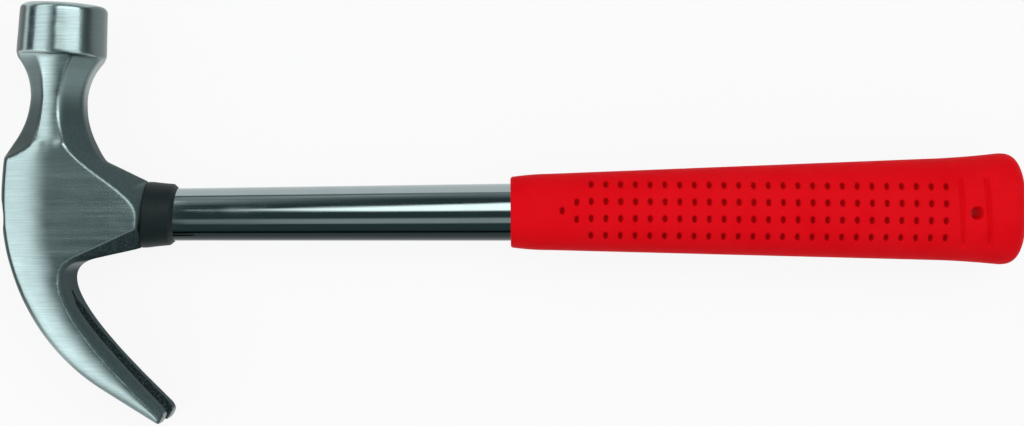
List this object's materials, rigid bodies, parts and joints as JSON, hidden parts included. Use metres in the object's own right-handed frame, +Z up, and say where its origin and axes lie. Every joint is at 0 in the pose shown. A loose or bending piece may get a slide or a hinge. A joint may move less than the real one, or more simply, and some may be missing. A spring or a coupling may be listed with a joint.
{
  "type": "claw hammer",
  "caption": "Curved-claw hammer for driving and pulling nails: forged steel head with round poll and split claw, chromed tubular shaft, black collar and red sleeve grip.",
  "frame": {"origin": "middle of the hammer's outline, on the surface that it lies on", "axes": "+X along the shaft from head to butt, +Y towards the striking face, +Z up through the head's thickness"},
  "size_m": [0.3272, 0.1352, 0.0287],
  "materials": {
    "head_steel": "ground with a fine grain, clear lacquered",
    "shaft_chrome": "polished chrome plate",
    "plug_wood": "sawn end grain",
    "wedge_steel": "plain, driven flush",
    "collar_plastic": "matt black moulding",
    "grip_pvc": "soft semi-gloss, dimpled"
  },
  "bodies": {
    "root": {"head": "head_steel", "shaft": "shaft_chrome", "core_plug": "plug_wood", "wedge": "wedge_steel", "collar": "collar_plastic", "grip": "grip_pvc"}
  },
  "joints": []
}
